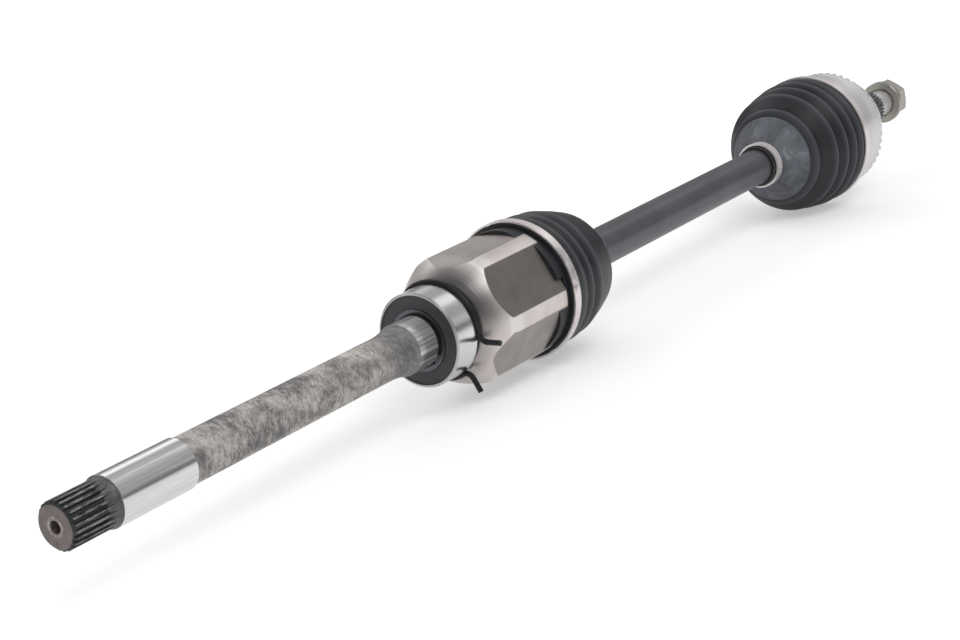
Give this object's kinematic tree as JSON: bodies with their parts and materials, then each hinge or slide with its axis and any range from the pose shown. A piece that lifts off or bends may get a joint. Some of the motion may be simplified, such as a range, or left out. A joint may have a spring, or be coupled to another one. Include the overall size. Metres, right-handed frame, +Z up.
{
  "type": "drive shaft",
  "caption": "Front-wheel drive shaft with intermediate shaft and support bearing, tripod plunging joint, centre shaft with rubber boots and a fixed ball joint with hub stub and nut.",
  "frame": {"origin": "centre of the support bearing, on the shaft axis", "axes": "+X along the shaft axis towards the wheel, +Z up with the shaft lying level, +Y to the left when looking along +X"},
  "size_m": [1.0082, 0.1046, 0.1046],
  "materials": {
    "machined_forging": "machined and forged steel, satin",
    "black_spring_steel": "phosphated, satin",
    "bearing_steel": "ground",
    "cage_steel": "pressed sheet",
    "seal_rubber": "satin",
    "boot_rubber": "satin",
    "clamp_steel": "rolled stainless band",
    "hardened_steel": "hardened",
    "painted_shaft": "satin",
    "sensor_steel": "sintered, matt",
    "zinc_nut": "yellow zinc"
  },
  "bodies": {
    "housing": {"tripod_housing": "machined_forging", "bearing_circlip": "black_spring_steel", "bearing_inner_ring": "bearing_steel", "boot_adapter": "boot_rubber", "inner_large_clamp": "clamp_steel"},
    "support_bearing": {"bearing_outer_ring": "bearing_steel", "bearing_seal_front": "seal_rubber", "bearing_seal_rear": "seal_rubber", "bearing_snap_ring": "black_spring_steel"},
    "bearing_cage": {"bearing_cage": "cage_steel", "bearing_balls": "bearing_steel"},
    "inner_boot": {"inner_boot": "boot_rubber"},
    "centre_shaft": {"centre_shaft": "painted_shaft", "tripod_spider": "hardened_steel", "roller_needles": "bearing_steel", "roller_retainers": "black_spring_steel", "spider_circlip": "black_spring_steel", "inner_small_clamp": "clamp_steel", "outer_small_clamp": "clamp_steel", "cv_inner_race": "hardened_steel", "cv_race_circlip": "black_spring_steel"},
    "roller_1": {"tripod_roller_1": "bearing_steel"},
    "roller_2": {"tripod_roller_2": "bearing_steel"},
    "roller_3": {"tripod_roller_3": "bearing_steel"},
    "outer_boot": {"outer_boot": "boot_rubber"},
    "cv_cage": {"cv_cage": "hardened_steel", "cv_balls": "bearing_steel"},
    "wheel_end": {"cv_bell": "machined_forging", "speed_sensor_ring": "sensor_steel", "outer_large_clamp": "clamp_steel", "hub_nut": "zinc_nut"}
  },
  "joints": [
    {"name": "bearing_spin", "type": "hinge", "parent": "housing", "child": "support_bearing", "pos_m": [0, 0, 0], "axis": [1, 0, 0], "continuous": true},
    {"name": "bearing_cage_spin", "type": "hinge", "parent": "housing", "child": "bearing_cage", "pos_m": [0, 0, 0], "axis": [1, 0, 0], "continuous": true},
    {"name": "inner_plunge", "type": "slide", "parent": "housing", "child": "inner_boot", "axis": [1, 0, 0], "range_m": [-0.018, 0.015], "deforming": ["inner_boot"]},
    {"name": "inner_bend", "type": "hinge", "parent": "inner_boot", "child": "centre_shaft", "pos_m": [0.071, 0, 0], "axis": [0, 0, 1], "range_deg": [-17, 17], "deforming": ["inner_boot"]},
    {"name": "roller_1_spin", "type": "hinge", "parent": "centre_shaft", "child": "roller_1", "pos_m": [0.071, 0, 0], "axis": [0, 0.866, 0.5], "range_deg": [-65, 65]},
    {"name": "roller_2_spin", "type": "hinge", "parent": "centre_shaft", "child": "roller_2", "pos_m": [0.071, 0, 0], "axis": [0, -0.866, 0.5], "range_deg": [-65, 65]},
    {"name": "roller_3_spin", "type": "hinge", "parent": "centre_shaft", "child": "roller_3", "pos_m": [0.071, 0, 0], "axis": [0, 0, -1], "range_deg": [-65, 65]},
    {"name": "outer_bump", "type": "hinge", "parent": "centre_shaft", "child": "outer_boot", "pos_m": [0.545, 0, 0], "axis": [0, 1, 0], "range_deg": [-8, 8], "deforming": ["outer_boot"]},
    {"name": "outer_steer", "type": "hinge", "parent": "outer_boot", "child": "wheel_end", "pos_m": [0.545, 0, 0], "axis": [0, 0, 1], "range_deg": [-42, 42], "deforming": ["outer_boot"]},
    {"name": "cage_steer", "type": "hinge", "parent": "outer_boot", "child": "cv_cage", "pos_m": [0.545, 0, 0], "axis": [0, 0, 1], "range_deg": [-21.5, 21.5]}
  ],
  "couplings": [
    {"joint": "bearing_cage_spin", "follows": "bearing_spin", "ratio": 0.5887},
    {"joint": "roller_1_spin", "follows": "inner_plunge", "rad_per_m": 60.606},
    {"joint": "roller_2_spin", "follows": "inner_plunge", "rad_per_m": 60.606},
    {"joint": "roller_3_spin", "follows": "inner_plunge", "rad_per_m": 60.606},
    {"joint": "cage_steer", "follows": "outer_steer", "ratio": 0.5}
  ]
}
